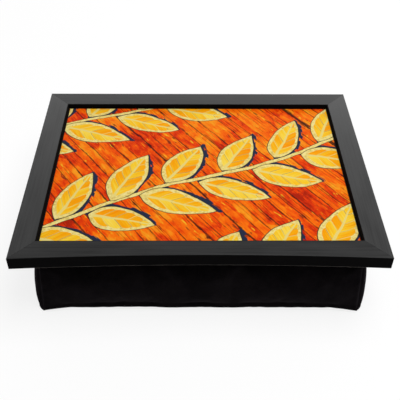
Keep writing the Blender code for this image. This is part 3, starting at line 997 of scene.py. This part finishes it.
def cushion_mesh():
    """The sewn box as one closed mesh: the cloth's shift, the seam groove, the gathers and the dents."""
    lines = [
        2 * graded_lines(2 * TOP_HALF_LENGTH) - 1,
        2 * graded_lines(2 * TOP_HALF_DEPTH) - 1,
        graded_lines(CUSHION_HEIGHT),
    ]
    mesh, _, shares, points, distances = box_mesh("cushion_cover", lines)
    points += carried(*cloth_shift(), shares)
    set_points(mesh, points)
    normals = np.array([vert.normal for vert in mesh.vertices])
    from_seam = np.sort(distances, axis=1)[:, 1]
    moved = seam_relief(points, from_seam)
    height_share = points[:, 2] / CUSHION_HEIGHT
    hangs = np.clip(from_rest(distances, height_share) / REST_FADE, 0, 1)
    dents = np.array([noise.noise(Vector(p) * DENT_SCALE) for p in points])
    moved += DENT_HEIGHT * dents * hangs
    points += normals * moved[:, None]
    points[:, 2] = np.clip(points[:, 2], 0, CUSHION_HEIGHT)
    cosine, sine = math.cos(CUSHION_TURN), math.sin(CUSHION_TURN)
    points[:, :2] = points[:, :2] @ np.array([[cosine, sine], [-sine, cosine]]) + CUSHION_SHIFT
    set_points(mesh, points)
    for face in mesh.polygons:
        face.use_smooth = True
    return mesh


def make_cushion():
    """One sewn cushion, which stands for the cover's panels and the bag inside."""
    mesh = cushion_mesh()
    mesh.materials.append(velvet())
    cushion = bpy.data.objects.new("cushion_cover", mesh)
    bpy.context.collection.objects.link(cushion)
    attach(cushion, "cushion")
    covers = [f"cover_{side}" for side in ("top", "bottom", "front", "back", "left", "right")]
    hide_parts(*covers, "bead_bag")


def dress(material, slot, *starts):
    """Gives a finish to the CAD nodes whose names start so; the slot is not used."""
    for name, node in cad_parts.items():
        if name.startswith(starts):
            node.data.materials.clear()
            node.data.materials.append(material)


def dress_nodes():
    dress(sprig_print(), "print_orange", "print_sheet")
    dress(black_board("board_black", (0.012, 0.0115, 0.011), BOARD_FIBRES), "board_black", "tray_board")
    dress(steel(), "steel", "v_nail", "board_point")
    dress(tape("hook_nylon", tone=0.016, pile_scale=1100, pile_height=0.0004), "hook_nylon", "hook")
    dress(tape("loop_nylon", tone=0.022, pile_scale=800, pile_height=0.0006), "loop_nylon", "loop")


def white_floor():
    """A floor that lights the object as a pale one does, and that shows white but for the object's shadow.

    Far from the object it shows as white as the sky, so that its edge doesn't show."""
    look = bpy.data.materials.new("white_floor")
    look.use_nodes = True
    look.node_tree.nodes.clear()
    nodes = Nodes(look.node_tree)
    bounce = nodes.add("ShaderNodeBsdfDiffuse", {"Color": (*[FLOOR_BOUNCE] * 3, 1)}).outputs[0]
    shadowed = nodes.add("ShaderNodeBsdfDiffuse", {"Color": (*[FLOOR_SHADOW_SHARE] * 3, 1)}).outputs[0]
    away = nodes.vector("LENGTH", nodes.add("ShaderNodeTexCoord").outputs["Object"])
    strength = nodes.smooth(away, FLOOR_FADE_START, FLOOR_FADE_END, FLOOR_GLOW, 1)
    glow = nodes.add("ShaderNodeEmission", {"Color": WHITE, "Strength": strength}).outputs[0]
    shown = nodes.add("ShaderNodeAddShader", {0: shadowed, 1: glow}).outputs[0]
    either = nodes.add("ShaderNodeMixShader", {0: nodes.seen_share(), 1: bounce, 2: shown}).outputs[0]
    nodes.add("ShaderNodeOutputMaterial", {"Surface": either})
    return look


def make_floor():
    mesh = bpy.data.meshes.new("floor")
    corners = [(-1, -1), (1, -1), (1, 1), (-1, 1)]
    mesh.from_pydata([(x * FLOOR_HALF, y * FLOOR_HALF, 0) for x, y in corners], [], [(0, 1, 2, 3)])
    mesh.materials.append(white_floor())
    floor = bpy.data.objects.new("floor", mesh)
    bpy.context.collection.objects.link(floor)


def make_world():
    """A sky that looks white, and that lights the object more from above than from the horizon."""
    world = bpy.data.worlds.new("studio")
    bpy.context.scene.world = world
    world.use_nodes = True
    nodes = Nodes(world.node_tree)
    height = nodes.parts(nodes.add("ShaderNodeTexCoord").outputs["Generated"])[2]
    light = nodes.ranged(height, 0, 1, HORIZON_LIGHT, ZENITH_LIGHT)
    background = nodes.tree.nodes["Background"]
    nodes.put(background.inputs["Color"], WHITE)
    nodes.put(background.inputs["Strength"], nodes.ranged(nodes.seen_share(), 0, 1, light, 1))


def make_lamp(name, place, aim, size, watts):
    light = bpy.data.lights.new(name, "AREA")
    light.shape = "RECTANGLE"
    light.size, light.size_y = size
    light.energy = watts
    lamp = bpy.data.objects.new(name, light)
    bpy.context.collection.objects.link(lamp)
    lamp.location = place
    lamp.rotation_euler = (Vector(aim) - Vector(place)).to_track_quat("-Z", "Y").to_euler()


def make_camera():
    data = bpy.data.cameras.new("camera")
    data.sensor_width = SENSOR_WIDTH_MM
    data.lens = FOCAL_PIXELS / PHOTO_PIXELS * SENSOR_WIDTH_MM
    camera = bpy.data.objects.new("camera", data)
    bpy.context.collection.objects.link(camera)
    camera.location = CAMERA_PLACE
    camera.rotation_euler = [math.radians(angle) for angle in CAMERA_TURN_DEGREES]
    bpy.context.scene.camera = camera


make_camera()
make_rails()
make_cushion()
dress_nodes()
make_floor()
make_world()
for softbox in SOFTBOXES:
    make_lamp(*softbox)
bpy.context.scene.view_settings.view_transform = "Standard"
